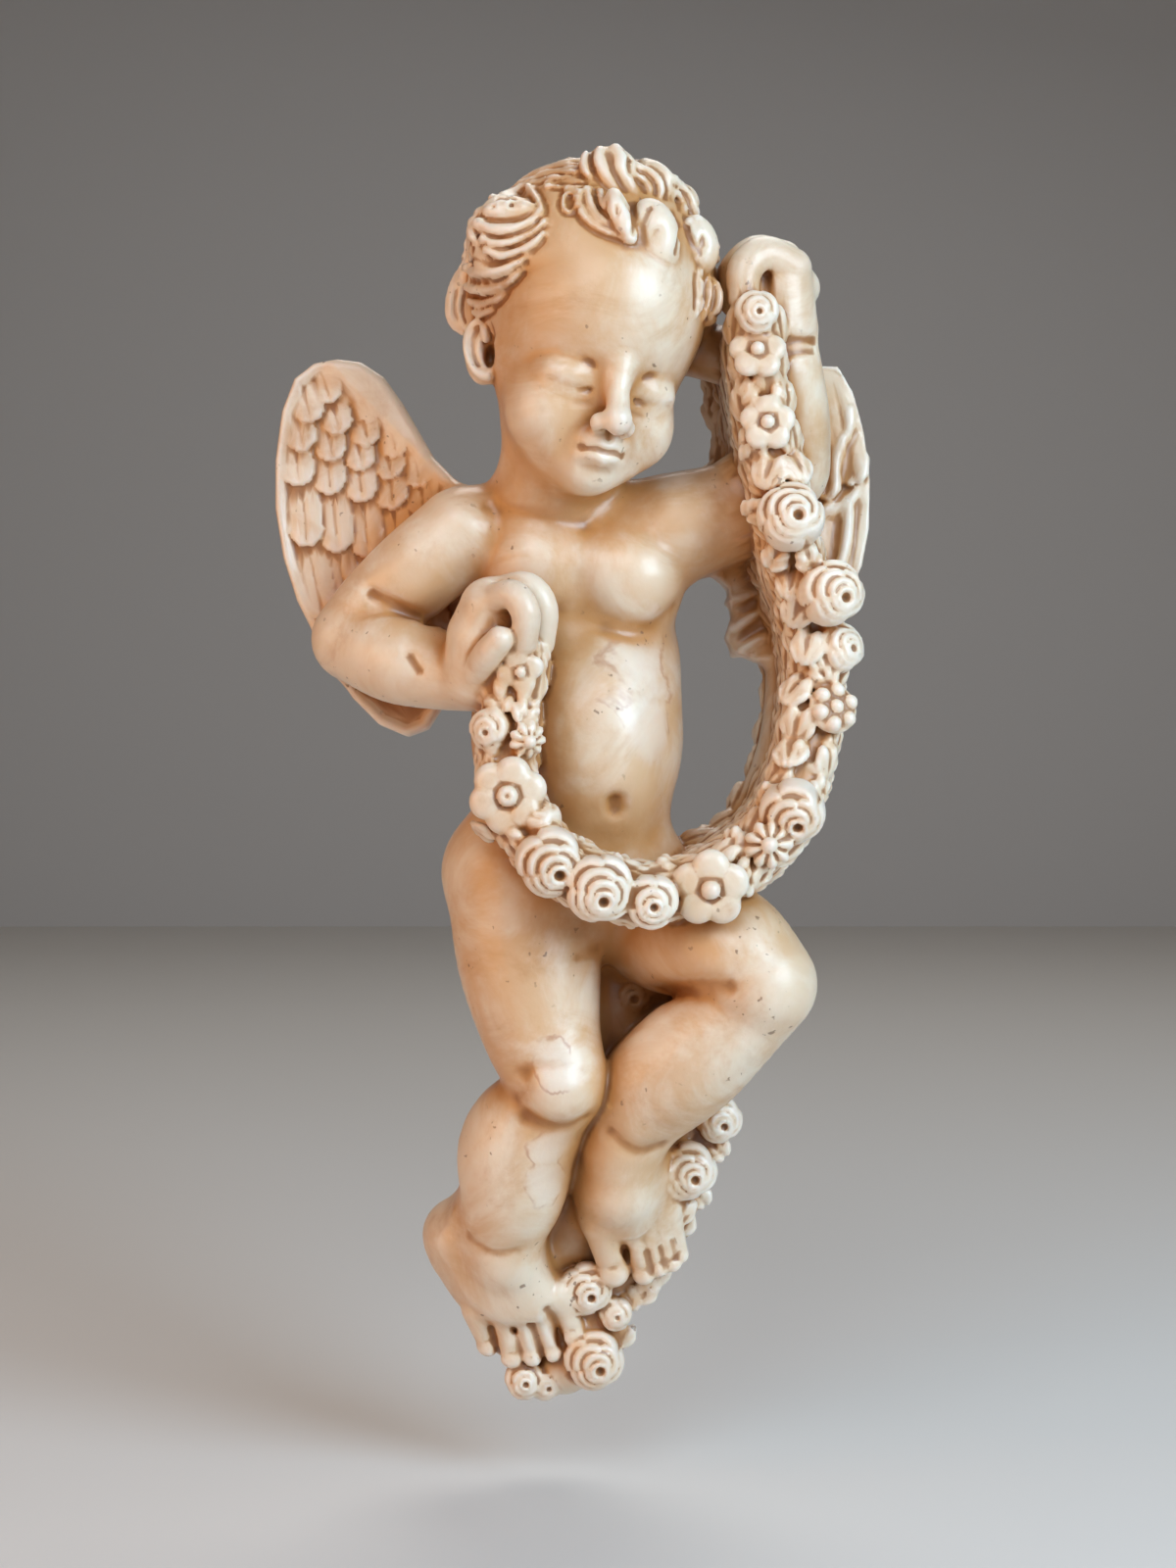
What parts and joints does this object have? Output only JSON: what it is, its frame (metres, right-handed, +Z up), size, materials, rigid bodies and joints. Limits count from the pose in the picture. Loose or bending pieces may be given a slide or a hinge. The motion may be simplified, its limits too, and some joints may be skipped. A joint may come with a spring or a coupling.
{
  "type": "cherub wall plaque",
  "caption": "Relief figure of a winged infant with closed eyes that holds a swag of flowers across its body, cast in one piece with a flat back for hanging on a wall.",
  "frame": {"origin": "on the flat back, in the wall's plane, between the shoulders of the figure", "axes": "+Z up along the figure's height, +X across to the viewer's right, +Y out of the flat back into the wall, so the front faces -Y"},
  "size_m": [0.1478, 0.0675, 0.2997],
  "materials": {
    "cherub_plaque": "cast resin in a warm ivory, wax-polished, with orange-brown stain left in the hollows and thin reddish veins"
  },
  "bodies": {
    "root": {"cherub_plaque": "cherub_plaque"}
  },
  "joints": []
}
